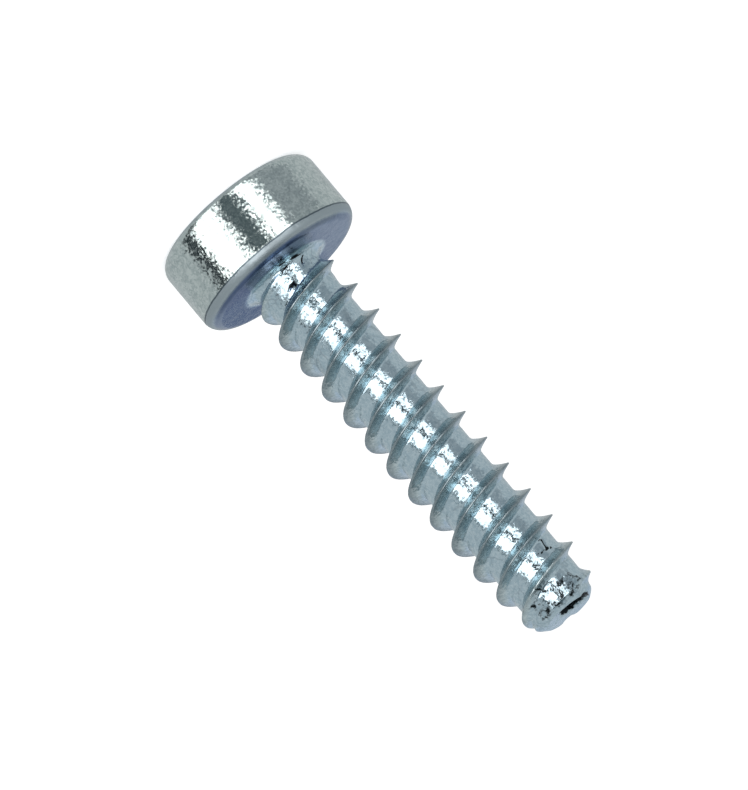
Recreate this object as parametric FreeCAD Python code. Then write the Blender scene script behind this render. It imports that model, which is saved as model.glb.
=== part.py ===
import FreeCAD, Part

import math
import os

# A cold-headed, thread-rolled steel screw with a tall cylindrical head, a six-lobe socket and a blunt end.
# It stands on its head: the origin is the centre of the drive face, and +Z runs along the axis to the tip.
# All sizes are in millimetres.

# Head
head_d = 10.4
head_h = 4.7
head_top_round = 0.8  # radius of the edge round the drive face
head_rim_round = 0.8  # radius of the edge round the bearing face

# Neck, where the shank leaves the bearing face
neck_d = 4.3
neck_fillet = 0.6
neck_taper_len = 2.45  # from the bearing face to where the neck has thinned to the thread's core

# Shank
shank_len = 25.0  # from the bearing face to the tip
core_d = 3.98
tip_chamfer = 0.3

# Thread, rolled as two like ridges half a turn apart, both right-handed
thread_d = 5.5
thread_starts = 2
crest_pitch = 1.9  # from one crest to the next along the axis
first_crest = 1.17  # from the bearing face to where the first crests cross the XZ plane
flank_head_side = 0.47  # axial width of the flank that faces the head, from crest to foot
flank_tip_side = 0.31  # the same for the steeper flank that faces the tip
ridge_foot_depth = 0.3  # how far a ridge's foot is sunk in the core
ridge_end_depth = 0.12  # how far under the core's surface its crest starts and ends

# Run-outs of the thread, measured along the axis
run_in_start = 0.25  # from the bearing face, where a ridge leaves the neck
run_in_end = 2.6  # from the bearing face, where it has its full height
tip_taper_len = 3.85  # from the tip, where the crests begin to sink
tip_fade_len = 0.9  # from the tip, where the last of a ridge falls away
tip_fade_height = 0.47  # share of the full height that is left there
tip_clear = 0.35  # from the tip to the end of the ridges

# Six-lobe socket in the drive face
socket_across_lobes = 4.5
socket_across_waists = 3.27
socket_lobe_r = 0.39
socket_lobes = 6
socket_depth = 2.3
socket_floor_angle = 120.0  # included angle of the cone at its floor
socket_lead_in = 0.15  # how far the countersink at its mouth reaches past the lobes
socket_lead_in_angle = 140.0

# Conical dimple that heading and rolling leave in the tip, a little off the axis
dimple_d = 1.6
dimple_depth = 0.7
dimple_x = -0.5
dimple_y = -0.3

# How finely a ridge's helices are set out
points_per_turn = 12
steps_per_stretch = 6  # half a turn to each stretch of flank

# Heights that the features share
bearing_z = head_h
tip_z = bearing_z + shank_len
lead = crest_pitch * thread_starts
thread_h = (thread_d - core_d) / 2
ridge_first_z = bearing_z + run_in_start
ridge_last_z = tip_z - tip_clear
ridge_steps = math.ceil((ridge_last_z - ridge_first_z) / lead * points_per_turn)

Z_AXIS = FreeCAD.Vector(0, 0, 1)
ORIGIN = FreeCAD.Vector(0, 0, 0)
FULL_TURN = 2 * math.pi


def profile_point(r, z):
    """A point of the half section in the XZ plane."""
    return FreeCAD.Vector(r, 0, z)


def corner_arc(start, centre, end):
    """The quarter round from start to end about centre."""
    out = (start - centre) + (end - centre)
    middle = centre + out.normalize() * (start - centre).Length
    return Part.Arc(start, middle, end).toShape()


def hollow_curve(start, corner, end):
    """A hollow that leaves start towards corner and turns smoothly to end."""
    curve = Part.BezierCurve()
    curve.setPoles([start, corner, end])
    return curve.toShape()


def line(start, end):
    return Part.LineSegment(start, end).toShape()


def blank():
    """Head, neck, core and tip as one turned form, before the thread is rolled on it."""
    head_r = head_d / 2
    neck_r = neck_d / 2
    core_r = core_d / 2
    top_in = profile_point(head_r - head_top_round, 0)
    top_out = profile_point(head_r, head_top_round)
    rim_out = profile_point(head_r, bearing_z - head_rim_round)
    rim_in = profile_point(head_r - head_rim_round, bearing_z)
    fillet_out = profile_point(neck_r + neck_fillet, bearing_z)
    fillet_in = profile_point(neck_r, bearing_z + neck_fillet)
    core_start = profile_point(core_r, bearing_z + neck_taper_len)
    core_end = profile_point(core_r, tip_z - tip_chamfer)
    tip_in = profile_point(core_r - tip_chamfer, tip_z)
    tip_middle = profile_point(0, tip_z)
    top_centre = profile_point(top_in.x, head_top_round)
    rim_centre = profile_point(rim_in.x, rim_out.z)
    neck_corner = profile_point(neck_r, bearing_z)
    outline = Part.Wire(
        [
            line(ORIGIN, top_in),
            corner_arc(top_in, top_centre, top_out),
            line(top_out, rim_out),
            corner_arc(rim_out, rim_centre, rim_in),
            line(rim_in, fillet_out),
            hollow_curve(fillet_out, neck_corner, fillet_in),
            line(fillet_in, core_start),
            line(core_start, core_end),
            line(core_end, tip_in),
            line(tip_in, tip_middle),
            line(tip_middle, ORIGIN),
        ]
    )
    return Part.Face(outline).revolve(ORIGIN, Z_AXIS, 360)


def ridge_fullness(z):
    """How much of its full height a ridge has at height z: it swells from the neck and sinks to the tip."""
    from_bearing = z - bearing_z
    if from_bearing < run_in_end:
        along = (from_bearing - run_in_start) / (run_in_end - run_in_start)
        return 1 - (1 - max(along, 0)) ** 2
    to_tip = tip_z - z
    if to_tip < tip_fade_len:
        return tip_fade_height * max(to_tip - tip_clear, 0) / (tip_fade_len - tip_clear)
    if to_tip < tip_taper_len:
        along = (to_tip - tip_fade_len) / (tip_taper_len - tip_fade_len)
        return tip_fade_height + (1 - tip_fade_height) * along
    return 1.0


def ridge_section():
    """Corners of a ridge's section, as (distance along the axis from its crest, height over the core)."""
    sunk = 1 + ridge_foot_depth / thread_h
    return [
        (-flank_head_side * sunk, -ridge_foot_depth),
        (0, thread_h),
        (flank_tip_side * sunk, -ridge_foot_depth),
    ]


def ridge_curve(turn_offset, along, height):
    """The helix that one corner of the section follows, with its steps along the ridge as its parameter."""
    points = []
    for step in range(ridge_steps + 1):
        z = ridge_first_z + (ridge_last_z - ridge_first_z) * step / ridge_steps
        full = ridge_fullness(z)
        rise = (height + ridge_end_depth) * full - ridge_end_depth if height > 0 else height
        r = core_d / 2 + rise
        turn = (z - bearing_z - first_crest) / lead + turn_offset
        angle = FULL_TURN * turn
        reach = along * (1 + full) / 2
        points.append(FreeCAD.Vector(r * math.cos(angle), r * math.sin(angle), z + reach))
    curve = Part.BSplineCurve()
    curve.interpolate(Points=points, Parameters=list(range(ridge_steps + 1)))
    return curve


def ridge(turn_offset):
    """One start of the thread as a closed solid whose foot is sunk in the core.

    Its flanks are ruled between the helices of the section's corners, in stretches short enough to fuse cleanly.
    """
    curves = [ridge_curve(turn_offset, along, height) for along, height in ridge_section()]
    marks = list(range(0, ridge_steps, steps_per_stretch)) + [ridge_steps]
    faces = []
    for start, end in zip(marks, marks[1:]):
        edges = []
        for curve in curves:
            stretch = curve.copy()
            stretch.segment(start, end)
            edges.append(stretch.toShape())
        faces += [Part.makeRuledSurface(a, b) for a, b in zip(edges, edges[1:] + edges[:1])]
    for end in (0, ridge_steps):
        corners = [curve.value(end) for curve in curves]
        faces.append(Part.Face(Part.makePolygon(corners + corners[:1])))
    shell = Part.makeShell(faces)
    shell.sewShape()
    solid = Part.makeSolid(shell)
    if solid.Volume < 0:
        solid.reverse()
    return solid


def lobed_outline(z):
    """The socket's outline: round lobes joined by round waists that meet them smoothly."""
    lobe_ring = socket_across_lobes / 2 - socket_lobe_r
    waist = socket_across_waists / 2
    half_step = math.pi / socket_lobes
    cos_half = math.cos(half_step)
    above = socket_lobe_r**2 - lobe_ring**2 - waist**2 + 2 * lobe_ring * waist * cos_half
    waist_r = above / (2 * (waist - lobe_ring * cos_half - socket_lobe_r))
    waist_ring = waist + waist_r

    def at(r, angle):
        return FreeCAD.Vector(r * math.cos(angle), r * math.sin(angle), z)

    edges = []
    for k in range(socket_lobes):
        lobe_angle = 2 * half_step * k
        waist_angle = lobe_angle + half_step
        lobe_centre = at(lobe_ring, lobe_angle)
        waist_before = at(waist_ring, lobe_angle - half_step)
        waist_after = at(waist_ring, waist_angle)
        next_lobe = at(lobe_ring, waist_angle + half_step)
        joins = [
            a + (b - a).normalize() * socket_lobe_r
            for a, b in ((lobe_centre, waist_before), (lobe_centre, waist_after), (next_lobe, waist_after))
        ]
        edges.append(Part.Arc(joins[0], at(socket_across_lobes / 2, lobe_angle), joins[1]).toShape())
        edges.append(Part.Arc(joins[1], at(waist, waist_angle), joins[2]).toShape())
    return Part.Wire(edges)


def cone_of(base_r, included_angle, base_z):
    """A full cone on the axis that points towards the tip."""
    height = base_r / math.tan(math.radians(included_angle / 2))
    return Part.makeCone(base_r, 0, height, Z_AXIS * base_z)


def socket():
    """The recess for the driver: a lobed pocket with a cone at its floor and a shallow one at its mouth."""
    pocket = Part.Face(lobed_outline(0)).extrude(Z_AXIS * socket_depth)
    floor = cone_of(socket_across_waists / 2, socket_floor_angle, socket_depth)
    lead_in = cone_of(socket_across_lobes / 2 + socket_lead_in, socket_lead_in_angle, 0)
    return pocket.fuse([floor, lead_in])


def dimple():
    """The hollow in the tip, as a cone that points into the screw."""
    return Part.makeCone(dimple_d / 2, 0, dimple_depth, FreeCAD.Vector(dimple_x, dimple_y, tip_z), -Z_AXIS)


def screw():
    ridges = [ridge(k / thread_starts) for k in range(thread_starts)]
    threaded = blank().fuse(ridges)
    return threaded.cut([socket(), dimple()])


body = screw().Solids[0]
print("valid", body.isValid(), "volume mm3", round(body.Volume, 2))
os.makedirs("parts", exist_ok=True)
body.exportStep("parts/screw.step")
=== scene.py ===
# %% [markdown]
# # A six-lobe screw, cold-headed, thread-rolled and zinc-plated
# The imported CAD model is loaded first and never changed. It gives the frame: the screw stands on its head,
# the origin is the middle of the drive face, +Z runs to the tip, and one Blender unit is one metre.
# Everything below makes one better-looking piece that takes the place of the CAD node `screw`.

# %% Load the frame
import math
import bpy
import numpy as np
from mathutils import Matrix, Vector


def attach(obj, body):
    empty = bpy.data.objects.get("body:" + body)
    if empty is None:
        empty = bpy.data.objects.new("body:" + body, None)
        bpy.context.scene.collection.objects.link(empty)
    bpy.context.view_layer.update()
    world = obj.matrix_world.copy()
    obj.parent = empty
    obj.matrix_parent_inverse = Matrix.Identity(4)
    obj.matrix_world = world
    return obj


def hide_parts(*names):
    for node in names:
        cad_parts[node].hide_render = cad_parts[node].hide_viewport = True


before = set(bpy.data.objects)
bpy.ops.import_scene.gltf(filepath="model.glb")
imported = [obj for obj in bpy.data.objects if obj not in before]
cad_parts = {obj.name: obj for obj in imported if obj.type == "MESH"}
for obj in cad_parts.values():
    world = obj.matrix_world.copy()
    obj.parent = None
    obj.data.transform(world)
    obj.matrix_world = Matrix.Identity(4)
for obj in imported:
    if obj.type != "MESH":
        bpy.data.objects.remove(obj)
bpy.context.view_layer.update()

MM = 0.001  # one millimetre in metres

# %% [markdown]
# ## The real sizes
# A screw is a family of a few sizes, so they are written down once, in millimetres, and every form below is
# worked out from them. The thread has two starts: two like ridges half a turn apart, so the crests on both
# sides of the outline lie level, and each ridge climbs two pitches in a turn.

# %% Sizes in millimetres
HEAD_D, HEAD_H = 10.4, 4.7
HEAD_TOP_ROUND, HEAD_RIM_ROUND = 0.8, 0.8
NECK_D, NECK_FILLET, NECK_TAPER = 4.3, 0.6, 2.45
SHANK_LEN, CORE_D, THREAD_D = 25.0, 3.98, 5.5
CREST_PITCH, STARTS, FIRST_CREST = 1.9, 2, 1.17
TIP_ROUND = 0.4  # softer than a turned edge
SOCKET_LOBES, SOCKET_ACROSS, SOCKET_WAISTS, SOCKET_LOBE_R = 6, 4.5, 3.27, 0.39
SOCKET_DEPTH, SOCKET_MOUTH_R, SOCKET_FLOOR = 2.3, 2.4, 3.2
COLUMNS = 168  # steps round the axis, the same for every ring so that the rings can be welded
TIP_Z = HEAD_H + SHANK_LEN
print("screw", THREAD_D, "x", SHANK_LEN, "mm, head", HEAD_D, "x", HEAD_H, "mm")


# %% [markdown]
# ## One helper for all node trees
# Geometry trees and materials are both built by adding nodes and linking sockets. One small function does
# that: the settings are the node's own properties, and each input is a plain value or another node's output.

# %% A function that adds a node
def add(tree, kind, inputs=None, **settings):
    """Adds one node, sets its properties, fills or links its inputs, and gives back its outputs."""
    made = tree.nodes.new(kind)
    for name, value in settings.items():
        setattr(made, name, value)
    for key, value in (inputs or {}).items():
        if isinstance(value, bpy.types.NodeSocket):
            tree.links.new(value, made.inputs[key])
        else:
            made.inputs[key].default_value = value
    return made.outputs


def linear(hex_colour):
    """An sRGB colour such as #95a2a8 as the linear colour that shaders take."""
    parts = [int(hex_colour[i:i + 2], 16) / 255 for i in (1, 3, 5)]
    return [c / 12.92 if c <= 0.04045 else ((c + 0.055) / 1.055) ** 2.4 for c in parts] + [1.0]


# %% [markdown]
# ## The turned parts of the blank
# A header punches the head from wire: socket, flat drive face, rounded edges, bearing face and the start of
# the fillet under it. Every one of these is a ring round the axis, so the mesh is a stack of rings, each
# with the same number of points. Only the socket's rings aren't round: their radius follows the six lobes.

# %% Rings round the axis
ANGLES = np.arange(COLUMNS) * 2 * math.pi / COLUMNS


def lobed_radius(angle):
    """Radius of the socket's outline at an angle: a round lobe, or the round waist between two lobes."""
    half = math.pi / SOCKET_LOBES
    ring, waist = SOCKET_ACROSS / 2 - SOCKET_LOBE_R, SOCKET_WAISTS / 2
    above = SOCKET_LOBE_R**2 - ring**2 - waist**2 + 2 * ring * waist * math.cos(half)
    waist_r = above / (2 * (waist - ring * math.cos(half) - SOCKET_LOBE_R))
    waist_ring = waist + waist_r
    off = abs((angle + half) % (2 * half) - half)
    share = SOCKET_LOBE_R / (SOCKET_LOBE_R + waist_r)
    join_x = ring + (waist_ring * math.cos(half) - ring) * share
    join_y = waist_ring * math.sin(half) * share
    if off < math.atan2(join_y, join_x):
        return ring * math.cos(off) + math.sqrt(SOCKET_LOBE_R**2 - (ring * math.sin(off)) ** 2)
    side = half - off
    return waist_ring * math.cos(side) - math.sqrt(waist_r**2 - (waist_ring * math.sin(side)) ** 2)


def ring(radius, height, centre=(0.0, 0.0)):
    """Points of one ring; the radius and the height may be one number or one for each column."""
    x = centre[0] + radius * np.cos(ANGLES)
    y = centre[1] + radius * np.sin(ANGLES)
    return np.stack([x, y, np.broadcast_to(height, COLUMNS)], axis=1)


def quarter(r_from, z_from, r_to, z_to, centre_r, centre_z, steps=14):
    """Rings along a round edge between two points at the same distance from its centre."""
    start = math.atan2(z_from - centre_z, r_from - centre_r)
    turn = (math.atan2(z_to - centre_z, r_to - centre_r) - start + math.pi) % (2 * math.pi) - math.pi
    size = math.hypot(r_from - centre_r, z_from - centre_z)
    at = [start + turn * k / steps for k in range(1, steps + 1)]
    return [ring(centre_r + size * math.cos(a), centre_z + size * math.sin(a)) for a in at]


def skin(rings, pole_first=None, pole_last=None):
    """Vertices and faces of a stack of rings, closed by a point at either end if one is given."""
    points = [p for r in rings for p in r]
    faces = []
    for k in range(len(rings) - 1):
        for j in range(COLUMNS):
            a, b = k * COLUMNS + j, k * COLUMNS + (j + 1) % COLUMNS
            faces.append((a, b, b + COLUMNS, a + COLUMNS))
    for pole, base, flip in ((pole_first, 0, True), (pole_last, (len(rings) - 1) * COLUMNS, False)):
        if pole is not None:
            points.append(pole)
            for j in range(COLUMNS):
                edge = (base + j, base + (j + 1) % COLUMNS)
                faces.append((*(edge[::-1] if flip else edge), len(points) - 1))
    return points, faces


# %% Head with its socket
NECK_R, CORE_R, HEAD_R = NECK_D / 2, CORE_D / 2, HEAD_D / 2
THREAD_FROM = NECK_FILLET * (1 - math.sqrt(0.5))  # the tree takes over half way round the fillet


def neck_radius(height):
    """Radius of the neck at a height over the bearing face, as the thread's tree works it out too."""
    taper = (NECK_R - CORE_R) * max(1 - height / NECK_TAPER, 0)
    rest = NECK_FILLET - min(height, NECK_FILLET)
    return CORE_R + taper + NECK_FILLET - math.sqrt(NECK_FILLET**2 - rest**2)


lobes = np.array([lobed_radius(a) for a in ANGLES])
mouth_slope = math.tan(math.radians(20))  # the countersink at the mouth is a cone of 140 degrees
SOFT = 0.03  # rings this close to each other keep the socket's edges crisp, but not razor sharp
head_rings = [
    ring(SOCKET_WAISTS / 4, (SOCKET_DEPTH + SOCKET_FLOOR) / 2),
    ring(SOCKET_WAISTS / 2 - 0.02, SOCKET_DEPTH + 0.01),
    ring(lobes - SOFT, SOCKET_DEPTH),
    ring(lobes, SOCKET_DEPTH - 0.04),
    ring(lobes, SOCKET_DEPTH / 2),
    ring(lobes, (SOCKET_MOUTH_R - lobes) * mouth_slope + SOFT),
    ring(lobes + SOFT, (SOCKET_MOUTH_R - lobes - SOFT) * mouth_slope),
    ring(SOCKET_MOUTH_R, 0.0),
    ring(SOCKET_MOUTH_R + 0.05, 0.0),
    ring(3.4, 0.0),  # half way over the flat drive face
    ring(HEAD_R - HEAD_TOP_ROUND, 0.0),
]
top_r, rim_r = HEAD_R - HEAD_TOP_ROUND, HEAD_R - HEAD_RIM_ROUND
head_rings += quarter(top_r, 0, HEAD_R, HEAD_TOP_ROUND, top_r, HEAD_TOP_ROUND)
WALL_ROWS = 20
wall = HEAD_H - HEAD_TOP_ROUND - HEAD_RIM_ROUND
for k in range(1, WALL_ROWS):
    head_rings.append(ring(HEAD_R, HEAD_TOP_ROUND + wall * k / WALL_ROWS))
head_rings.append(ring(HEAD_R, HEAD_H - HEAD_RIM_ROUND))
head_rings += quarter(HEAD_R, HEAD_H - HEAD_RIM_ROUND, rim_r, HEAD_H, rim_r, HEAD_H - HEAD_RIM_ROUND)
fillet_r = NECK_R + NECK_FILLET
for r in np.linspace(rim_r, fillet_r, 10)[1:]:
    head_rings.append(ring(r, HEAD_H))
FILLET_ROWS = 6
for k in range(1, FILLET_ROWS + 1):
    turned = math.radians(45) * k / FILLET_ROWS
    height = NECK_FILLET * (1 - math.cos(turned))
    head_rings.append(ring(neck_radius(height), HEAD_H + height))
head_points, head_faces = skin(head_rings, pole_first=(0, 0, SOCKET_FLOOR))
print("head rings", len(head_rings))

# %% [markdown]
# ## The tip
# Rolling squeezes the metal outwards over the end of the blank, so the tip isn't a clean face: its rim is
# soft and uneven, and a hollow is left beside the axis. The rings run from the rim inwards and drift from
# the screw's axis to the hollow's own middle.

# %% Tip with its hollow
THREAD_TO = SHANK_LEN - TIP_ROUND
HOLLOW_AT, HOLLOW_R, HOLLOW_DEPTH = (-0.5, -0.45), 0.8, 0.7
TIP_DISH = 0.1  # how far the hollow's mouth lies under the rim
MOUTH_ROWS = 8
tip_in = CORE_R - TIP_ROUND
tip_rings = [ring(CORE_R, TIP_Z - TIP_ROUND)]
tip_rings += quarter(CORE_R, TIP_Z - TIP_ROUND, tip_in, TIP_Z, tip_in, TIP_Z - TIP_ROUND, steps=7)
# the mouth is oval along X, with two small waves round it
oval = 0.22 * np.cos(2 * ANGLES)
waves = 0.05 * np.cos(3 * ANGLES + 1) + 0.03 * np.cos(7 * ANGLES)
mouth = HOLLOW_R * (1 + oval + waves)
for k in range(1, MOUTH_ROWS + 1):
    drift = k / MOUTH_ROWS
    middle = (HOLLOW_AT[0] * drift, HOLLOW_AT[1] * drift)
    tip_rings.append(ring(tip_in + (mouth - tip_in) * drift, TIP_Z - TIP_DISH * drift**2, middle))
for k in range(1, MOUTH_ROWS):
    inward = k / MOUTH_ROWS
    depth = TIP_DISH + (HOLLOW_DEPTH - TIP_DISH) * math.sin(math.pi / 2 * inward) ** 0.8
    tip_rings.append(ring(mouth * (1 - inward), TIP_Z - depth, HOLLOW_AT))
tip_points, tip_faces = skin(tip_rings, pole_last=(*HOLLOW_AT, TIP_Z - HOLLOW_DEPTH))


def mesh_of(name, parts):
    """One mesh from several lists of points in millimetres and faces."""
    points, faces = [], []
    for part_points, part_faces in parts:
        faces += [tuple(i + len(points) for i in f) for f in part_faces]
        points += [tuple(c * MM for c in p) for p in part_points]
    mesh = bpy.data.meshes.new(name)
    mesh.from_pydata(points, [], faces)
    return mesh


blank = mesh_of("turned_blank", [(head_points, head_faces), (tip_points, tip_faces)])
screw = bpy.data.objects.new("zinc_screw", blank)
bpy.context.scene.collection.objects.link(screw)
print("turned blank", len(screw.data.vertices), "points, open where the thread will be rolled")

# %% [markdown]
# ## The rolled thread
# Flat dies press the thread into the blank, and its shape is one rule: at every point of the shank the
# radius is the core's, plus the ridge's height there, which depends only on how far the point lies from
# the nearest crest along the axis. A Geometry Nodes tree can say that rule once. It takes a flat grid, bends
# it round the axis, and slants its rows to the helix so that mesh edges run along the crests. At both ends
# the rows are held back to a level ring, and what falls together is welded. Both flanks are hollow, the one
# that faces the tip is steeper, and the ridges swell out of the neck and sink again before the tip.

# %% Inputs of the thread's tree
ROWS_PER_PITCH = 24
CROWDING = 0.55  # 0 spaces the rows evenly, and near 1 they all lie at the crests
thread_tree = bpy.data.node_groups.new("rolled_thread", "GeometryNodeTree")
face = thread_tree.interface
face.new_socket("Geometry", in_out="INPUT", socket_type="NodeSocketGeometry")
thread_sizes = {
    "Bearing face": HEAD_H, "Thread from": THREAD_FROM, "Thread to": THREAD_TO, "Length": SHANK_LEN,
    "Core radius": CORE_R, "Ridge height": (THREAD_D - CORE_D) / 2, "Crest pitch": CREST_PITCH,
    "Starts": float(STARTS), "First crest": FIRST_CREST, "Flank to head": 0.56, "Flank to tip": 0.375,
    "Crest half width": 0.035, "Flank hollow": 1.5, "Run-in start": 0.25, "Run-in end": 2.6,
    "Taper": 3.85, "Fade": 0.9, "Fade height": 0.47, "End gap": TIP_ROUND,
    "Neck widening": NECK_R - CORE_R, "Neck taper": NECK_TAPER, "Neck fillet": NECK_FILLET,
    "Columns": float(COLUMNS), "Rows per pitch": float(ROWS_PER_PITCH), "Lumps": 0.02, "Lump size": 0.55,
}
for name, value in thread_sizes.items():
    face.new_socket(name, in_out="INPUT", socket_type="NodeSocketFloat").default_value = value
face.new_socket("Material", in_out="INPUT", socket_type="NodeSocketMaterial")
face.new_socket("Geometry", in_out="OUTPUT", socket_type="NodeSocketGeometry")
entry = add(thread_tree, "NodeGroupInput")
known = {s.name: s for s in entry if s.name}
print("thread inputs", len(thread_sizes))

# %% The rule, one Math node to a line
pitches_high = math.ceil((SHANK_LEN + (STARTS + 1) * CREST_PITCH) / CREST_PITCH)
row_count = pitches_high * ROWS_PER_PITCH + 1
grid = add(thread_tree, "GeometryNodeMeshGrid", {"Vertices X": COLUMNS + 1, "Vertices Y": row_count})
known["index"] = add(thread_tree, "GeometryNodeInputIndex")[0]
RULE = [
    ("column part", "DIVIDE", "index", float(row_count)),
    ("column", "FLOOR", "column part"),
    ("passed", "MULTIPLY", "column", float(row_count)),
    ("row", "SUBTRACT", "index", "passed"),
    ("turn", "DIVIDE", "column", "Columns"),
    ("angle", "MULTIPLY", "turn", 2 * math.pi),
    ("lead", "MULTIPLY", "Crest pitch", "Starts"),
    ("climb", "MULTIPLY", "lead", "turn"),
    # rows crowd towards the crests, which lie on every whole number of pitches
    ("pitches", "DIVIDE", "row", "Rows per pitch"),
    ("pitch angle", "MULTIPLY", "pitches", 2 * math.pi),
    ("pitch wave", "SINE", "pitch angle"),
    ("crowding", "MULTIPLY", "pitch wave", CROWDING / (2 * math.pi)),
    ("crowded", "SUBTRACT", "pitches", "crowding"),
    ("up", "MULTIPLY", "crowded", "Crest pitch"),
    ("run back", "ADD", "lead", "Crest pitch"),
    ("row start", "SUBTRACT", "First crest", "run back"),
    ("level", "ADD", "up", "row start"),
    ("slanted", "ADD", "level", "climb"),
    ("held low", "MAXIMUM", "slanted", "Thread from"),
    ("height", "MINIMUM", "held low", "Thread to"),
    # signed distance along the axis from the nearest crest, towards the tip
    ("from first", "SUBTRACT", "height", "First crest"),
    ("unwound", "SUBTRACT", "from first", "climb"),
    ("half pitch", "MULTIPLY", "Crest pitch", 0.5),
    ("minus half", "MULTIPLY", "half pitch", -1.0),
    ("beside", "WRAP", "unwound", "half pitch", "minus half"),
    # share of the ridge's height on either flank
    ("head reach", "ADD", "Flank to head", "beside"),
    ("head width", "SUBTRACT", "Flank to head", "Crest half width"),
    ("head flank", "DIVIDE", "head reach", "head width"),
    ("head top", "MINIMUM", "head flank", 1.0),
    ("head share", "MAXIMUM", "head top", 0.0),
    ("tip reach", "SUBTRACT", "Flank to tip", "beside"),
    ("tip width", "SUBTRACT", "Flank to tip", "Crest half width"),
    ("tip flank", "DIVIDE", "tip reach", "tip width"),
    ("tip top", "MINIMUM", "tip flank", 1.0),
    ("tip share", "MAXIMUM", "tip top", 0.0),
    ("share", "MULTIPLY", "head share", "tip share"),
    ("hollow", "POWER", "share", "Flank hollow"),
    # the ridge swells from the neck
    ("run-in length", "SUBTRACT", "Run-in end", "Run-in start"),
    ("into run-in", "SUBTRACT", "height", "Run-in start"),
    ("run-in part", "DIVIDE", "into run-in", "run-in length"),
    ("run-in low", "MAXIMUM", "run-in part", 0.0),
    ("run-in held", "MINIMUM", "run-in low", 1.0),
    ("short of full", "SUBTRACT", 1.0, "run-in held"),
    ("short squared", "MULTIPLY", "short of full", "short of full"),
    ("swell", "SUBTRACT", 1.0, "short squared"),
    # and sinks to the tip
    ("to tip", "SUBTRACT", "Length", "height"),
]
for name, operation, *terms in RULE:
    filled = {i: known.get(term, term) for i, term in enumerate(terms)}
    known[name] = add(thread_tree, "ShaderNodeMath", filled, operation=operation, label=name)[0]
known["sinking"] = add(thread_tree, "ShaderNodeMapRange", {
    "Value": known["to tip"], "From Min": known["Fade"], "From Max": known["Taper"],
    "To Min": known["Fade height"], "To Max": 1.0})[0]
known["fading"] = add(thread_tree, "ShaderNodeMapRange", {
    "Value": known["to tip"], "From Min": known["End gap"], "From Max": known["Fade"],
    "To Min": 0.0, "To Max": known["Fade height"]})[0]
ENDING = [
    ("in fade", "LESS_THAN", "to tip", "Fade"),
    ("not in fade", "SUBTRACT", 1.0, "in fade"),
    ("fade part", "MULTIPLY", "fading", "in fade"),
    ("sink part", "MULTIPLY", "sinking", "not in fade"),
    ("ending", "ADD", "fade part", "sink part"),
    ("fullness", "MULTIPLY", "swell", "ending"),
    ("ridge", "MULTIPLY", "fullness", "hollow"),
    ("rise", "MULTIPLY", "ridge", "Ridge height"),
    # the neck under it: a taper and the fillet
    ("taper part", "DIVIDE", "height", "Neck taper"),
    ("taper left", "SUBTRACT", 1.0, "taper part"),
    ("taper held", "MAXIMUM", "taper left", 0.0),
    ("widening", "MULTIPLY", "taper held", "Neck widening"),
    ("in fillet", "MINIMUM", "height", "Neck fillet"),
    ("fillet rest", "SUBTRACT", "Neck fillet", "in fillet"),
    ("rest squared", "MULTIPLY", "fillet rest", "fillet rest"),
    ("fillet squared", "MULTIPLY", "Neck fillet", "Neck fillet"),
    ("fillet gap", "SUBTRACT", "fillet squared", "rest squared"),
    ("fillet root", "SQRT", "fillet gap"),
    ("fillet", "SUBTRACT", "Neck fillet", "fillet root"),
    ("with taper", "ADD", "Core radius", "widening"),
    ("smooth radius", "ADD", "with taper", "fillet"),
    ("bare radius", "ADD", "smooth radius", "rise"),
    ("cos", "COSINE", "angle"),
    ("sin", "SINE", "angle"),
    ("bare x", "MULTIPLY", "bare radius", "cos"),
    ("bare y", "MULTIPLY", "bare radius", "sin"),
]
for name, operation, *terms in ENDING:
    filled = {i: known.get(term, term) for i, term in enumerate(terms)}
    known[name] = add(thread_tree, "ShaderNodeMath", filled, operation=operation, label=name)[0]
print("rule of", len(RULE) + len(ENDING), "steps over", (COLUMNS + 1) * row_count, "grid points")

# %% [markdown]
# The dies leave the roots slightly lumpy, which breaks their reflections into bright patches with dark
# seams. A noise with a fixed seed moves the surface in and out by hundredths of a millimetre, except at the
# two end rings, which have to meet the turned parts exactly.

# %% Lumps, weld, scale to metres
bare = add(thread_tree, "ShaderNodeCombineXYZ", {
    "X": known["bare x"], "Y": known["bare y"], "Z": known["height"]})[0]
known["per lump"] = add(thread_tree, "ShaderNodeMath", {0: 1.0, 1: known["Lump size"]}, operation="DIVIDE")[0]
lump_noise = add(thread_tree, "ShaderNodeTexNoise", {
    "Vector": bare, "Scale": known["per lump"], "Detail": 2.0, "Roughness": 0.55, "Distortion": 0.6})
known["lump noise"] = lump_noise[0]
known["ends in"] = add(thread_tree, "ShaderNodeMapRange", {
    "Value": known["height"], "From Min": THREAD_FROM + 0.1, "From Max": THREAD_FROM + 1.5})[0]
known["ends out"] = add(thread_tree, "ShaderNodeMapRange", {
    "Value": known["to tip"], "From Min": TIP_ROUND, "From Max": TIP_ROUND + 0.5})[0]
PLACING = [
    ("lump centred", "SUBTRACT", "lump noise", 0.5),
    ("lump sized", "MULTIPLY", "lump centred", "Lumps"),
    ("lump doubled", "MULTIPLY", "lump sized", 2.0),
    ("lump in", "MULTIPLY", "lump doubled", "ends in"),
    ("lump", "MULTIPLY", "lump in", "ends out"),
    ("radius", "ADD", "bare radius", "lump"),
    ("x", "MULTIPLY", "radius", "cos"),
    ("y", "MULTIPLY", "radius", "sin"),
    ("z", "ADD", "height", "Bearing face"),
]
for name, operation, *terms in PLACING:
    filled = {i: known.get(term, term) for i, term in enumerate(terms)}
    known[name] = add(thread_tree, "ShaderNodeMath", filled, operation=operation, label=name)[0]
place = add(thread_tree, "ShaderNodeCombineXYZ", {"X": known["x"], "Y": known["y"], "Z": known["z"]})[0]
metres = add(thread_tree, "ShaderNodeVectorMath", {0: place, "Scale": MM}, operation="SCALE")[0]
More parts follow.
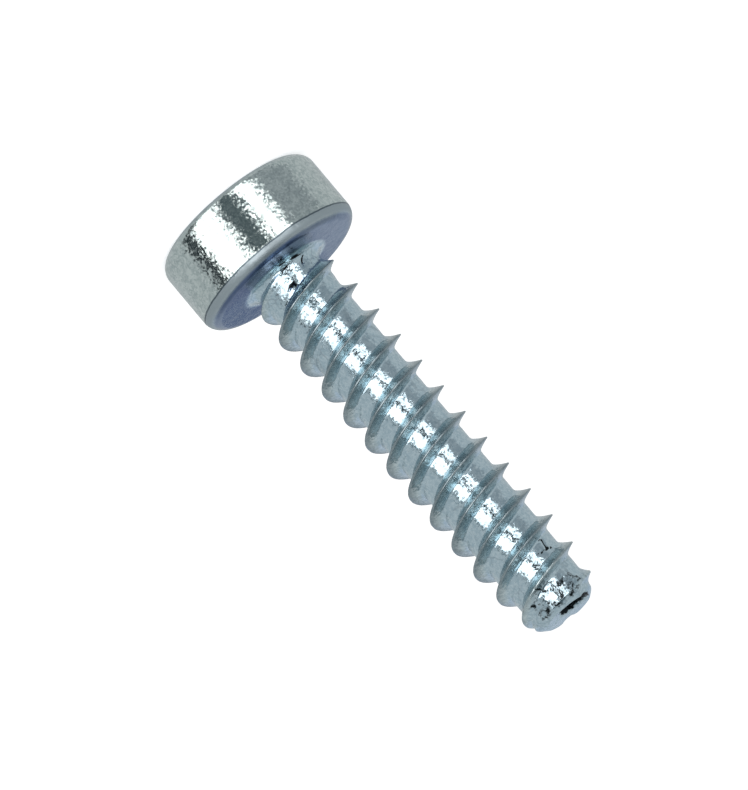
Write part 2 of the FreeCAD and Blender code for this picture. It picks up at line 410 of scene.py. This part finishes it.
with_ridge = add(thread_tree, "GeometryNodeStoreNamedAttribute", {
    "Geometry": grid[0], "Name": "ridge", "Value": known["ridge"]}, data_type="FLOAT", domain="POINT")[0]
bent = add(thread_tree, "GeometryNodeSetPosition", {"Geometry": with_ridge, "Position": metres})[0]
both = thread_tree.nodes.new("GeometryNodeJoinGeometry")
thread_tree.links.new(entry["Geometry"], both.inputs[0])
thread_tree.links.new(bent, both.inputs[0])
welded = add(thread_tree, "GeometryNodeMergeByDistance", {"Geometry": both.outputs[0], "Distance": 3e-6})[0]
smooth = add(thread_tree, "GeometryNodeSetShadeSmooth", {"Geometry": welded})[0]
real = add(thread_tree, "GeometryNodeRealizeInstances", {"Geometry": smooth})[0]
coated = add(thread_tree, "GeometryNodeSetMaterial", {"Geometry": real, "Material": known["Material"]})[0]
add(thread_tree, "NodeGroupOutput", {"Geometry": coated})
print("thread tree", len(thread_tree.nodes), "nodes")

# %% [markdown]
# ## The finish: bright zinc plate
# Zinc from a barrel-plating drum covers cold-formed steel. It is a metal, so it has no colour of its own
# beside what it reflects: a cool grey. A clear-blue passivation film tints it, strongest where parts of the
# drum load didn't rub: under the head and between the ridges. Under the head its deep blue is partly painted
# dark reflection, and the crests, a thin line on the head's rim and patches at the neck are painted dark as
# shade and reflection. The drum's tumbling leaves a fine grain, so the edges of reflections break up into
# specks, and wide matte leaves where the coating grew unevenly.

# %% Patterns of the coating
zinc = bpy.data.materials.new("zinc_plate_clear_blue_barrel")
zinc.use_nodes = True
paint = zinc.node_tree
paint.nodes.clear()
where = add(paint, "ShaderNodeTexCoord")["Object"]
mm_place = add(paint, "ShaderNodeMapping", {"Vector": where, "Scale": (1 / MM, 1 / MM, 1 / MM)})[0]
# flat specks of the tumbled coating: real ones are finer, and these are drawn 0.11 mm wide so that they show
specks = add(paint, "ShaderNodeTexVoronoi", {"Vector": mm_place, "Scale": 9.0})["Color"]
grain = add(paint, "ShaderNodeTexNoise", {
    "Vector": mm_place, "Scale": 5.0, "Detail": 4.0, "Roughness": 0.7})[0]
fleck = add(paint, "ShaderNodeTexNoise", {
    "Vector": mm_place, "Scale": 2.6, "Detail": 5.0, "Roughness": 0.7})[0]
# clouds about 2 mm wide, in which the plating is a little brighter or duller
cloud = add(paint, "ShaderNodeTexNoise", {
    "Vector": mm_place, "Scale": 0.55, "Detail": 4.0, "Roughness": 0.6})[0]
# leaves of uneven coating, about 0.5 mm wide, and the veins between them
warp = add(paint, "ShaderNodeTexNoise", {"Vector": mm_place, "Scale": 1.3, "Detail": 2.0})[1]
warped = add(paint, "ShaderNodeMix", {0: 0.35, 4: mm_place, 5: warp}, data_type="VECTOR")[1]
leaves = add(paint, "ShaderNodeTexVoronoi", {
    "Vector": warped, "Scale": 2.2, "Smoothness": 0.4}, feature="SMOOTH_F1")[0]
edges = add(paint, "ShaderNodeTexVoronoi", {"Vector": warped, "Scale": 1.7}, feature="DISTANCE_TO_EDGE")[0]
print("patterns", len(paint.nodes), "nodes")

# %% [markdown]
# The tree takes six measures from the mesh, which are stored on it further down: where the plate has a
# cooler tint, where the bluish film and its painted dark reflection lie, where the crests and the rim are
# worn (the crests also painted dark as reflection), where dark marks show, among them laps, the tip's hollow
# and painted shade and dark reflection at the neck, and how much the specks lean. A colour is then a chain of
# mixes, each laid over the one before.

# %% Colours of the plate
teal_share, film_and_reflection_share, crest_wear_and_shade_share, rim_share, dark_mark_and_painted_shade_share, tumbled_share = (
    add(paint, "ShaderNodeAttribute", attribute_name=name)["Fac"]
    for name in ("teal", "film_and_dark_reflection", "crest", "rim", "bare", "tumbled"))
speck_tone = add(paint, "ShaderNodeMath", {0: specks, 1: 0.5, 2: fleck}, operation="MULTIPLY_ADD")[0]
fleck_tone = add(paint, "ShaderNodeMapRange", {"Value": speck_tone, "From Min": 0.55, "From Max": 0.95})[0]
plain = add(paint, "ShaderNodeMix", {
    0: fleck_tone, 6: linear("#b7c3c2"), 7: linear("#d9e2df")}, data_type="RGBA")[2]
cool = add(paint, "ShaderNodeMix", {
    0: fleck_tone, 6: linear("#b5cad4"), 7: linear("#cedfe6")}, data_type="RGBA")[2]
teal = add(paint, "ShaderNodeMix", {0: teal_share, 6: plain, 7: cool}, data_type="RGBA")[2]
# faint veins between the leaves, only where the clouds are bright
vein = add(paint, "ShaderNodeMapRange", {
    "Value": edges, "From Min": 0.02, "From Max": 0.07, "To Min": 1.0, "To Max": 0.0})[0]
vein_place = add(paint, "ShaderNodeMapRange", {
    "Value": cloud, "From Min": 0.48, "From Max": 0.6, "To Max": 0.28})[0]
veins = add(paint, "ShaderNodeMath", {0: vein, 1: vein_place}, operation="MULTIPLY")[0]
veined = add(paint, "ShaderNodeMix", {0: veins, 6: teal, 7: linear("#74808a")}, data_type="RGBA")[2]
# the film's deep blue is partly its own tint and partly painted dark reflection
blued = add(paint, "ShaderNodeMix", {0: film_and_reflection_share, 6: veined, 7: linear("#3f5680")}, data_type="RGBA")[2]
matte = add(paint, "ShaderNodeMix", {0: rim_share, 6: blued, 7: linear("#a8b3b8")}, data_type="RGBA")[2]
# the crests are painted dark, standing in for their dark reflection; their wear makes them rough
crest_painted_dark = add(paint, "ShaderNodeMix", {0: crest_wear_and_shade_share, 6: matte, 7: linear("#43525c")}, data_type="RGBA")[2]
# a thin line between the wall and the rounded rim, painted dark as a reflection
up = add(paint, "ShaderNodeSeparateXYZ", {"Vector": mm_place})["Z"]
painted_line_wander = add(paint, "ShaderNodeMath", {0: cloud, 1: 0.16, 2: up}, operation="MULTIPLY_ADD")[0]
painted_reflection_line = add(paint, "ShaderNodeMath", {0: painted_line_wander, 1: HEAD_H - 0.57, 2: 0.042}, operation="COMPARE")[0]
with_painted_line = add(paint, "ShaderNodeMix", {0: painted_reflection_line, 6: crest_painted_dark, 7: linear("#67737a")}, data_type="RGBA")[2]
# dark places have ragged borders, because the flecks push them to and fro; some of them are painted shade
# and painted dark reflection at the neck
fleck_push = add(paint, "ShaderNodeMath", {0: fleck, 1: 1.6, 2: -0.8}, operation="MULTIPLY_ADD")[0]
ragged = add(paint, "ShaderNodeMath", {0: dark_mark_and_painted_shade_share, 1: fleck_push})[0]
dark_share = add(paint, "ShaderNodeMapRange", {"Value": ragged, "From Min": 0.42, "From Max": 0.58})[0]
colour = add(paint, "ShaderNodeMix", {0: dark_share, 6: with_painted_line, 7: linear("#1c2124")}, data_type="RGBA")[2]
print("patterns and colours", len(paint.nodes), "nodes")

# %% [markdown]
# Plating is bright where it lies smooth and dull where it is worn. The specks are what makes this finish:
# each is a tiny flat that leans its own way, so at the edge of a reflection it is either bright or dark, and
# never blurred. A bump map can't do that, so the lean is added to the surface normal itself.

# %% Sheen and relief
BUMP_LEAVES, BUMP_GRAIN = 14e-6, 9e-6  # metres
WORN_ROUGHNESS = 0.42
sheen = add(paint, "ShaderNodeMapRange", {
    "Value": cloud, "From Min": 0.3, "From Max": 0.7, "To Min": 0.1, "To Max": 0.18})[0]
worn = add(paint, "ShaderNodeMath", {0: rim_share, 1: crest_wear_and_shade_share}, operation="MAXIMUM")[0]
rough = add(paint, "ShaderNodeMix", {0: worn, 2: sheen, 3: WORN_ROUGHNESS}, data_type="FLOAT")[0]
leaf_bump = add(paint, "ShaderNodeBump", {"Strength": 1.0, "Distance": BUMP_LEAVES, "Height": leaves})[0]
grain_bump = add(paint, "ShaderNodeBump", {
    "Strength": 1.0, "Distance": BUMP_GRAIN, "Height": grain, "Normal": leaf_bump})[0]
lean = add(paint, "ShaderNodeVectorMath", {0: specks, 1: (0.5, 0.5, 0.5)}, operation="SUBTRACT")[0]
leaned = add(paint, "ShaderNodeVectorMath", {0: lean, "Scale": tumbled_share}, operation="SCALE")[0]
leant = add(paint, "ShaderNodeVectorMath", {0: leaned, 1: grain_bump})[0]
faced = add(paint, "ShaderNodeVectorMath", {0: leant}, operation="NORMALIZE")[0]
shader = add(paint, "ShaderNodeBsdfPrincipled", {
    "Base Color": colour, "Metallic": 1.0, "Roughness": rough, "Normal": faced})[0]
add(paint, "ShaderNodeOutputMaterial", {"Surface": shader})
print("material", zinc.name, "with", len(paint.nodes), "nodes")

# %% [markdown]
# ## Rolling
# The tree runs as a modifier on the turned blank. Its inputs are set before it is first evaluated, and then
# its result is kept as a plain mesh: the scene holds a shape, not a recipe that still has to run.

# %% Roll the thread and keep the result as a plain mesh
roller = screw.modifiers.new("rolled_thread", "NODES")
roller.node_group = thread_tree
for item in thread_tree.interface.items_tree:
    if item.in_out == "INPUT" and item.name in thread_sizes:
        roller[item.identifier] = thread_sizes[item.name]
    if item.in_out == "INPUT" and item.name == "Material":
        roller[item.identifier] = zinc
graph = bpy.context.evaluated_depsgraph_get()
rolled = bpy.data.meshes.new_from_object(screw.evaluated_get(graph))
screw.modifiers.remove(roller)
screw.data = rolled
rolled.name = "zinc_screw"
print("rolled screw", len(rolled.vertices), "points", len(rolled.polygons), "faces")

# %% [markdown]
# ## The uneven tip
# Where the dies let go of the blank the metal flows as it likes. These moves are fractions of a millimetre,
# and each one is a smooth bump round one place, so the mesh keeps its order and only its points shift.

# %% The mesh as arrays, and two soft shapes
count = len(rolled.vertices)
place = np.zeros(count * 3, np.float32)
rolled.vertices.foreach_get("co", place)
place = place.reshape(-1, 3) / MM
reach = np.hypot(place[:, 0], place[:, 1])
turn = np.arctan2(place[:, 1], place[:, 0])
over, to_tip = place[:, 2] - HEAD_H, TIP_Z - place[:, 2]
print("reach to", round(float(reach.max()), 2), "mm")


def ramp(values, start, end):
    """0 before start, 1 after end and a smooth rise between them; start may be the larger one."""
    part = np.clip((values - start) / (end - start), 0, 1)
    return part * part * (3 - 2 * part)


def bell(values, middle, spread):
    """1 at the middle, and falling smoothly to 0 on both sides."""
    return np.exp(-(((values - middle) / spread) ** 2))


# %% Squeeze, swell and notch the tip
# the last of the shank is squeezed a little thinner, with a swelling where one ridge runs out
thinner = 0.05 * ramp(to_tip, 1.6, 0.2) + 0.16 * ramp(to_tip, 0.45, 0.05)
swelling = 0.12 * bell(turn, 0.0, 0.6) * bell(to_tip, 0.45, 0.22)
pinched = 0.1 * ramp(-np.cos(turn), 0.0, 0.9) * ramp(to_tip, 1.0, 0.4)
push = (swelling - thinner - pinched) * ramp(reach, 1.2, 1.9)
place[:, 0] += push * np.cos(turn)
place[:, 1] += push * np.sin(turn)
# a notch in the far side of its rim, and the near side worn lower
place[:, 2] -= 0.2 * bell(turn, 1.4, 0.22) * ramp(reach, 0.9, 1.5) * ramp(to_tip, 0.5, 0.0)
place[:, 2] -= 0.12 * ramp(place[:, 1], 0.3, -1.2) * ramp(to_tip, 0.9, 0.0)
# the hollow is coloured dark; it is wider along X than along Y
from_hollow = np.hypot((place[:, 0] - HOLLOW_AT[0]) / 1.2, (place[:, 1] - HOLLOW_AT[1]) / 0.8)
bare = ramp(from_hollow, 1.0, 0.62) * ramp(to_tip, 1.0, 0.8)
print("tip moved by up to", round(float(np.abs(push).max()), 2), "mm")

# %% [markdown]
# ## Laps, and painted shade at the neck
# A lap is a seam where rolling folded the metal over itself: a short crooked line, sunk a little and dark.
# The four lines near the tip are laps; the three at the neck are painted shade, sunk like them. The lines
# are laid out on the shank as if it were unrolled flat, and the distance to the nearest one says how far a
# point sinks and how dark it gets. Patches of painted dark reflection are added at the neck too.

# %% Laps, painted shade and painted dark reflection
LAP_DEPTH, LAP_SPREAD, LINE_DARK_TO = 0.05, 0.07, 0.12
NO_LAP = 9.0  # a distance that stands for none near
LAPS_AND_NECK_SHADE_LINES = [  # each a line of (turn in degrees, height)
    # the first three, at the neck, are painted shade; the other four, near the tip, are laps
    [(-99, 4.98), (-92, 5.02), (-86, 5.1)],
    [(-130, 4.95), (-124, 5.12), (-122, 5.3)],
    [(-95, 5.84), (-86, 5.9), (-78, 6.0)],
    [(-128, 25.76), (-135, 25.85), (-132, 26.16), (-132, 26.42), (-143, 26.53)],
    [(-132, 26.42), (-121, 26.48), (-112, 26.41)],
    [(-75, 27.9), (-82, 28.3), (-95, 28.5), (-99, 28.9)],
    [(-120, 28.2), (-112, 28.5), (-101, 28.6)],
]
line_distance = np.full(count, NO_LAP)
for line in LAPS_AND_NECK_SHADE_LINES:
    flat = [(math.radians(a) * CORE_R, z) for a, z in line]
    for (x0, z0), (x1, z1) in zip(flat, flat[1:]):
        dx, dz = x1 - x0, z1 - z0
        from_x, from_z = turn * CORE_R - x0, place[:, 2] - z0
        along = np.clip((from_x * dx + from_z * dz) / (dx * dx + dz * dz), 0, 1)
        away = np.hypot(from_x - along * dx, from_z - along * dz)
        line_distance = np.minimum(line_distance, np.where(reach > 1.8, away, NO_LAP))
sunk = LAP_DEPTH * bell(line_distance, 0, LAP_SPREAD)
place[:, 0] -= sunk * np.cos(turn)
place[:, 1] -= sunk * np.sin(turn)
bare = np.maximum(bare, 0.76 * ramp(line_distance, LINE_DARK_TO, 0.0))
# painted dark reflection at the neck, beside the lines: turn in degrees, height, and half the width of both
NECK_PAINTED_REFLECTIONS = [(-117, 4.84, 14, 0.09), (-95, 4.77, 8, 0.05), (-104, 5.3, 8, 0.05), (-90, 6.04, 9, 0.1)]
for turned, height, half_turned, half_height in NECK_PAINTED_REFLECTIONS:
    off = np.hypot((np.degrees(turn) - turned) / half_turned, (place[:, 2] - height) / half_height)
    bare = np.maximum(bare, 0.62 * ramp(off, 1.3, 0.5) * ramp(reach, 2.75, 2.68))
rolled.vertices.foreach_set("co", (place * MM).ravel())
rolled.update()
print("laps", len(LAPS_AND_NECK_SHADE_LINES), "neck_reflections", len(NECK_PAINTED_REFLECTIONS), "points sunk", int((line_distance < LAP_SPREAD).sum()))

# %% [markdown]
# ## Film, wear and painted dark reflection
# The material asks the mesh where things lie. Each measure is a number from 0 to 1 on every point: it is
# worked out from the height over the bearing face, the distance from the axis and the ridge's own fullness,
# and stored as a named attribute.

# %% Film, wear and painted dark reflection as attributes
ridge = np.zeros(count, np.float32)
rolled.attributes["ridge"].data.foreach_get("value", ridge)
# the shank is cooler than the head, its flanks less so than its roots
teal = ramp(over, -0.05, 0.05) * (1 - 0.6 * ramp(ridge, 0.05, 0.5))
# the bearing face didn't rub in the drum, so its bluish film is deep; its dark colour is partly the film's
# tint and partly painted dark reflection, and the extra depth near the front left is painted dark reflection
# only
film_depth_and_reflection = 0.72 + 0.2 * ramp(-place[:, 1], 1.4, 3.2) * ramp(place[:, 0], -2.6, -1.4)
film_and_dark_reflection = ramp(over, -0.3, -0.1) * ramp(reach, 2.7, 2.95) * film_depth_and_reflection
# its rounded rim and the edge of the drive face did, and are matte
rim = ramp(over, -0.72, -0.62) * ramp(over, -0.1, -0.3)
top_edge = ramp(place[:, 2], 0.3, 0.1) * ramp(reach, 4.3, 4.6)
rim = np.maximum(rim, 0.8 * top_edge)
# the crests are worn, which makes them rough, and are painted dark as their reflection
crest = 0.46 * ramp(ridge, 0.3, 0.93)
# the head's wall and the shank's roots are speckled, the bearing face is nearly smooth
tumbled = 0.15 - 0.135 * ramp(over, -0.6, -0.3) * ramp(reach, 2.5, 2.8)
near_tip = 0.46 * ramp(to_tip, 2.0, 1.2) * ramp(-place[:, 1], 0.8, 1.6) * ramp(to_tip, 0.0, 0.2)
# the dark share also carries the painted shade and painted dark reflection at the neck
bare = np.maximum.reduce([bare, near_tip, 0.12 * ramp(over, 0.3, 1.0)])
measures = {"teal": teal, "film_and_dark_reflection": film_and_dark_reflection, "rim": rim, "crest": crest, "bare": bare, "tumbled": tumbled}
for name, values in measures.items():
    rolled.attributes.new(name, "FLOAT", "POINT").data.foreach_set("value", values.astype(np.float32))
print({name: (round(float(v.min()), 2), round(float(v.max()), 2)) for name, v in measures.items()})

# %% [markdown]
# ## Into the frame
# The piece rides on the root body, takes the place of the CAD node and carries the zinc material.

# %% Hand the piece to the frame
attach(screw, "root")
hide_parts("screw")
print("handed over", screw.name)

# %% [markdown]
# ## Camera
# The photograph was taken from far away with a long lens, 13 degrees above the plane of the head, and shows
# the screw turned so that its tip points down to the right. Here the screw stands upright, so the camera is
# rolled instead.

# %% Camera
ELEVATION, ROLL = 13.0, 50.0  # degrees
DISTANCE, SENSOR = 440.0, 36.0  # millimetres
PIXELS_PER_MM, LONG_SIDE = 18.09, 790  # the picture's scale and its longer side in pixels
AIM = Vector((0.547, 0.0, 13.24)) * MM  # the point in the middle of the picture
e, q = math.radians(ELEVATION), math.radians(ROLL)
back = Vector((0, -math.cos(e), math.sin(e)))
upright = Vector((0, math.sin(e), math.cos(e)))
side = Vector((1, 0, 0))
right = side * -math.sin(q) + upright * math.cos(q)
top = side * -math.cos(q) + upright * -math.sin(q)
camera = bpy.data.objects.new("camera", bpy.data.cameras.new("camera"))
bpy.context.scene.collection.objects.link(camera)
turned = Matrix((right, top, back)).transposed().to_4x4()
camera.matrix_world = Matrix.Translation(AIM + back * DISTANCE * MM) @ turned
camera.data.sensor_width = SENSOR
camera.data.lens = SENSOR * DISTANCE * PIXELS_PER_MM / LONG_SIDE
camera.data.clip_start, camera.data.clip_end = 0.01, 20
bpy.context.scene.camera = camera
print("lens", round(camera.data.lens, 1), "mm")

# %% [markdown]
# ## Floor and backdrop
# The ground is plain white, so the floor is pale paper that glows a little for the camera only, and the
# world is white for the camera and for mirrors but dim as a light. The floor takes the soft shadow, and
# reflections don't see it.

# %% Floor and backdrop
def hide_from(obj, **rays):
    """Ray kinds that don't see an object, such as camera=False."""
    for name, shown in rays.items():
        setattr(obj, "visible_" + name, shown)


pale = bpy.data.materials.new("pale_paper_floor")
pale.use_nodes = True
floor_tree = pale.node_tree
floor_tree.nodes.clear()
ray = add(floor_tree, "ShaderNodeLightPath")
paper = add(floor_tree, "ShaderNodeBsdfDiffuse", {"Color": linear("#f4f4f4")})[0]
lift = add(floor_tree, "ShaderNodeEmission", {"Color": linear("#ffffff"), "Strength": 0.6})[0]
seen = add(floor_tree, "ShaderNodeMixShader", {0: ray["Is Camera Ray"], 2: lift})[0]
floor_look = add(floor_tree, "ShaderNodeAddShader", {0: paper, 1: seen})[0]
add(floor_tree, "ShaderNodeOutputMaterial", {"Surface": floor_look})
HALF = 1.5  # metres
corners = [(-HALF, -HALF, 0), (HALF, -HALF, 0), (HALF, HALF, 0), (-HALF, HALF, 0)]
floor_mesh = bpy.data.meshes.new("floor")
floor_mesh.from_pydata(corners, [], [(0, 1, 2, 3)])
floor_mesh.materials.append(pale)
floor = bpy.data.objects.new("floor", floor_mesh)
bpy.context.scene.collection.objects.link(floor)
hide_from(floor, glossy=False)

world = bpy.data.worlds.new("white_studio")
bpy.context.scene.world = world
world.use_nodes = True
sky = world.node_tree
sky.nodes.clear()
ray = add(sky, "ShaderNodeLightPath")
eye_or_mirror = add(sky, "ShaderNodeMath", {
    0: ray["Is Camera Ray"], 1: ray["Is Glossy Ray"]}, operation="MAXIMUM")[0]
shown = add(sky, "ShaderNodeMath", {
    0: eye_or_mirror, 1: ray["Is Transmission Ray"]}, operation="MAXIMUM")[0]
fill = add(sky, "ShaderNodeBackground", {"Color": linear("#f6f8fa"), "Strength": 0.5})[0]
white = add(sky, "ShaderNodeBackground", {"Color": linear("#ffffff"), "Strength": 1.0})[0]
mixed = add(sky, "ShaderNodeMixShader", {0: shown, 1: fill, 2: white})[0]
add(sky, "ShaderNodeOutputWorld", {"Surface": mixed})
print("floor", 2 * HALF, "m wide, world", world.name)

# %% [markdown]
# ## Studio
# A mirror-like metal shows the room, so the room is what gives the bright stripes. The head and the shank
# have theirs at different turns, so each has panels of its own. Far off stand two tall soft boxes with a
# black card between them, darker cards beside, above and below, and a grey tent all round: those are the
# shank's. Five near panels stand low round the head. Its wall mirrors what lies a little below it, so it
# sees those, while the shank looks over them. A small card behind the screw and a pale one over it tint the
# bearing face. The camera sees none of them.

# %% Panels round the screw
def panel(name, look, turns, rises, distance, centre, **rays):
    """A curved panel: part of a ball round a point of the axis, between two turns from the camera's side
    (towards the screw's -X side) and two rises over the level of that point, all in degrees."""
    steps = 16
    points, faces = [], []
    for rise in np.radians(np.linspace(*rises, steps + 1)):
        for turn in np.radians(np.linspace(*turns, steps + 1)):
            level = distance * math.cos(rise)
            height = centre + distance * math.sin(rise)
            points.append((-math.sin(turn) * level, -math.cos(turn) * level, height))
    for i in range(steps):
        for j in range(steps):
            k = i * (steps + 1) + j
            faces.append((k, k + 1, k + steps + 2, k + steps + 1))
    mesh = bpy.data.meshes.new(name)
    mesh.from_pydata([tuple(c * MM for c in p) for p in points], [], faces)
    mesh.materials.append(look)
    made = bpy.data.objects.new(name, mesh)
    bpy.context.scene.collection.objects.link(made)
    hide_from(made, camera=False, transmission=False, **rays)
    return made


def flat_panel(name, look, across, behind, up):
    """An upright card behind the screw, from its x and z ranges and its y, in millimetres."""
    mesh = bpy.data.meshes.new(name)
    corners = [(across[0], up[0]), (across[1], up[0]), (across[1], up[1]), (across[0], up[1])]
    mesh.from_pydata([(x * MM, behind * MM, z * MM) for x, z in corners], [], [(0, 1, 2, 3)])
    mesh.materials.append(look)
    made = bpy.data.objects.new(name, mesh)
    bpy.context.scene.collection.objects.link(made)
    hide_from(made, camera=False, transmission=False, diffuse=False, shadow=False)
    return made


def panel_look(name, colour, strength=1.0):
    """What the metal sees of a panel: an even tone."""
    made = bpy.data.materials.new(name)
    made.use_nodes = True
    tree = made.node_tree
    tree.nodes.clear()
    glow = add(tree, "ShaderNodeEmission", {"Color": linear(colour), "Strength": strength})[0]
    add(tree, "ShaderNodeOutputMaterial", {"Surface": glow})
    return made


lit = panel_look("soft_box_cloth", "#ffffff", 2.3)
black = panel_look("black_card", "#363e42")
dim = panel_look("dim_card", "#616c70")
dusk = panel_look("dusk_card", "#7a8589")
grey = panel_look("grey_card", "#a2a8ac")
blue_grey = panel_look("blue_grey_card", "#4f6a96")
haze = panel_look("pale_blue_card", "#bfc8d3")
tent = panel_look("grey_tent", "#c1c6c8")

# %% Put up the panels
FAR, MIDDLE_Z = 350.0, 14.0  # the far ones stand round the middle of the screw
NEAR, HEAD_Z = 15.0, 2.35  # the near ones round the middle of the head
TENT, CARDS = FAR + 60, FAR - 20  # the tent is behind the soft boxes, the cards before them
TALL, LOW = (-42, 46), (-60, 8)
only_metal = dict(diffuse=False, shadow=False)
panel("soft_box_left", lit, (-32, 8), TALL, FAR, MIDDLE_Z)
panel("soft_box_right", lit, (19, 37), TALL, FAR, MIDDLE_Z)
CARD_LIST = [
    ("tent", tent, (-180, 180), (-89.5, 89.5), TENT, MIDDLE_Z),
    ("card_between", black, (4, 20), TALL, CARDS, MIDDLE_Z),
    ("card_left", dusk, (-42, -32), (-60, 10), CARDS, MIDDLE_Z),
    ("card_below", dim, (-32, 37), (-88, -42), CARDS, MIDDLE_Z),
    ("card_above", dim, (-40, 45), (46, 86), CARDS, MIDDLE_Z),
    ("card_over_back", haze, (140, 220), (4, 30), FAR, MIDDLE_Z),
    ("card_right", grey, (37, 80), (-60, 10), CARDS, MIDDLE_Z),
    ("low_box_left", lit, (-48, -14), LOW, NEAR, HEAD_Z),
    ("low_box_right", lit, (14, 35), LOW, NEAR, HEAD_Z),
    ("low_card_middle", dim, (-14, 14), LOW, NEAR, HEAD_Z),
    ("low_card_left", black, (-64, -48), LOW, NEAR, HEAD_Z),
    ("low_card_right", grey, (35, 80), LOW, NEAR, HEAD_Z),
]
for name, look, turns, rises, distance, centre in CARD_LIST:
    panel(name, look, turns, rises, distance, centre, **only_metal)
# a small card behind the screw, seen in the bearing face only as far as its edge reaches
flat_panel("card_behind", blue_grey, (-2.3, 8.0), 60.0, (17.0, 23.0))
print("panels", len(CARD_LIST) + 3)

# %% [markdown]
# ## View settings
# The picture is shown as it is, with no film look.

# %% View settings
bpy.context.scene.view_settings.view_transform = "Standard"
